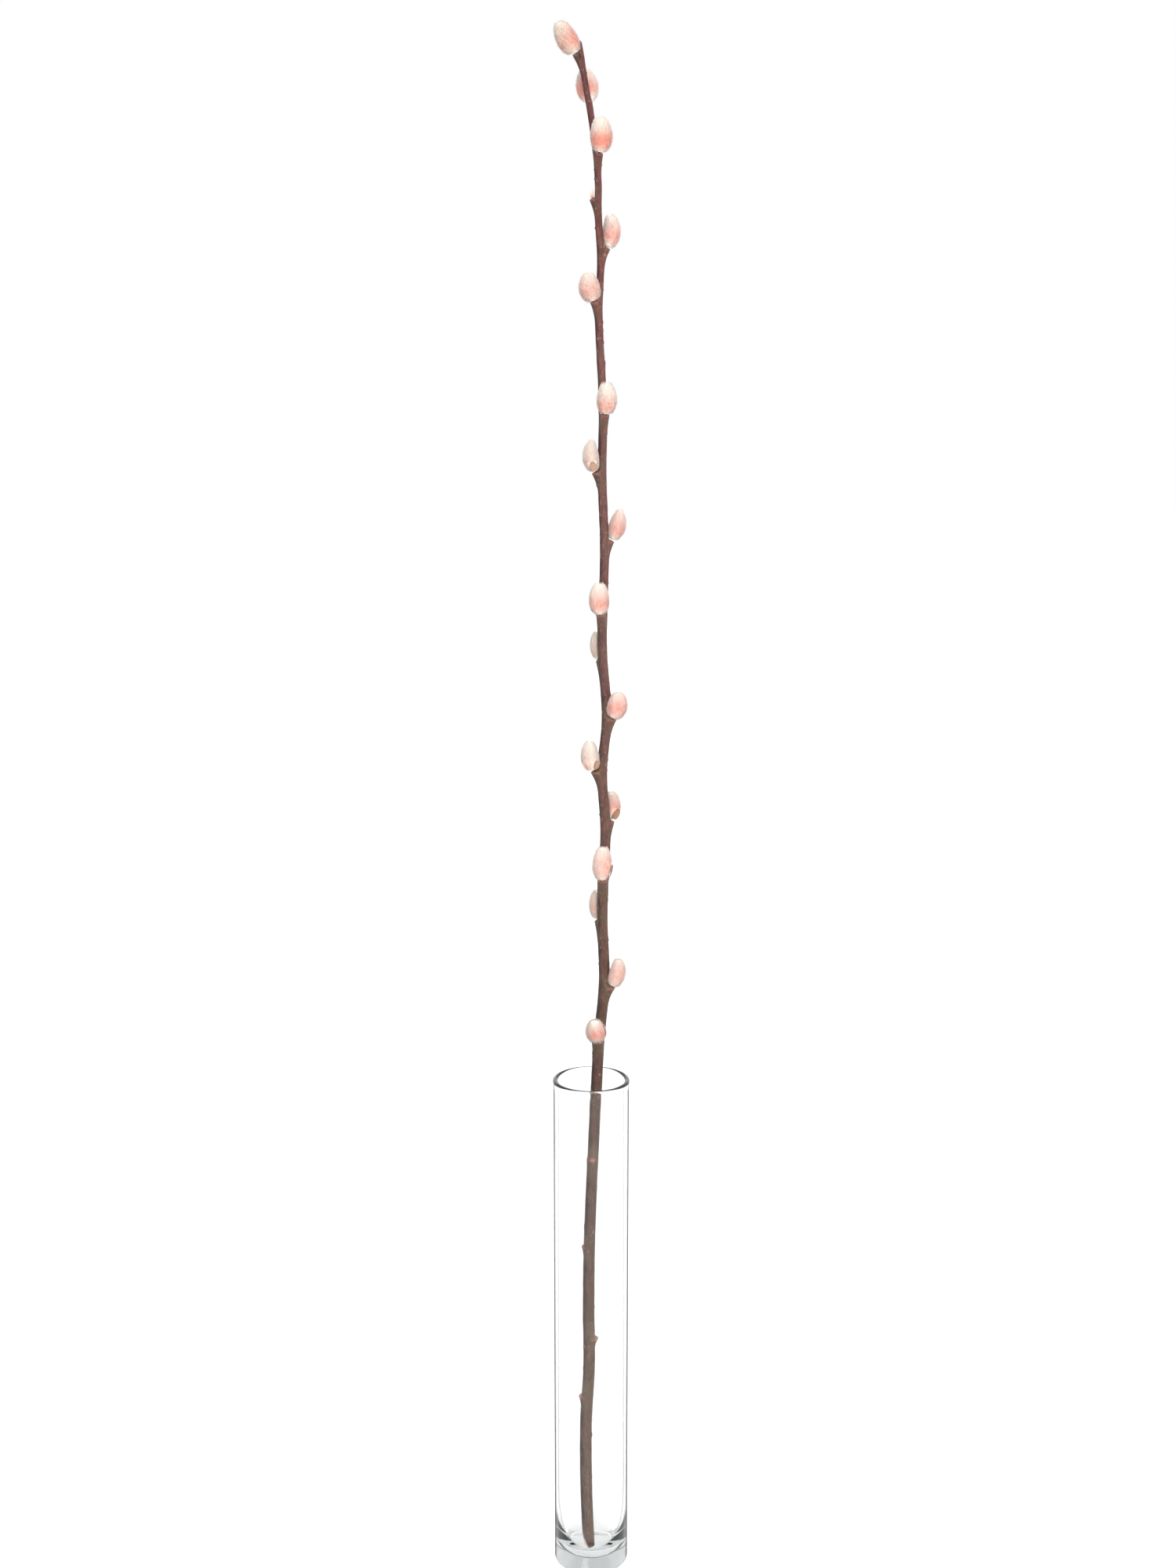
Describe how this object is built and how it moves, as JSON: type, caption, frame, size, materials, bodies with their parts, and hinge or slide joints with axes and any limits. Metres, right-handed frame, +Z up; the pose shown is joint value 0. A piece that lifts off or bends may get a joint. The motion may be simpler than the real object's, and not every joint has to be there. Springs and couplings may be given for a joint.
{
  "type": "pussy willow stem in glass vase",
  "caption": "Tall pink pussy willow stem with furry catkins in a spiral, leaning back against the rim of a slim clear glass cylinder vase.",
  "frame": {"origin": "centre of the vase's flat underside, on the vase's axis", "axes": "+Z up along the vase's axis; -Y is the front, where the picture looks from; the stem leans back towards +Y; +X is to the right seen from the front"},
  "size_m": [0.0512, 0.1097, 1.024],
  "materials": {
    "clear_glass": "clear and smooth, fire-polished lip",
    "bark": "smooth young bark, satin, reddish brown to grey brown at the foot",
    "catkin_silk": "soft silky hair, salmon pink below and cream above",
    "bud_scale": "thin dry bud scale, satin"
  },
  "bodies": {
    "root": {"vase": "clear_glass", "stem": "bark", "catkin_01": "catkin_silk", "catkin_02": "catkin_silk", "catkin_03": "catkin_silk", "catkin_04": "catkin_silk", "catkin_05": "catkin_silk", "catkin_06": "catkin_silk", "catkin_07": "catkin_silk", "catkin_08": "catkin_silk", "catkin_09": "catkin_silk", "catkin_10": "catkin_silk", "catkin_11": "catkin_silk", "catkin_12": "catkin_silk", "catkin_13": "catkin_silk", "catkin_14": "catkin_silk", "closed_bud_15": "bud_scale", "catkin_16": "catkin_silk", "catkin_17": "catkin_silk", "catkin_18": "catkin_silk", "bud_scale_01": "bud_scale", "bud_scale_04": "bud_scale", "bud_scale_05": "bud_scale", "bud_scale_06a": "bud_scale", "bud_scale_06b": "bud_scale", "bud_scale_11": "bud_scale"}
  },
  "joints": []
}
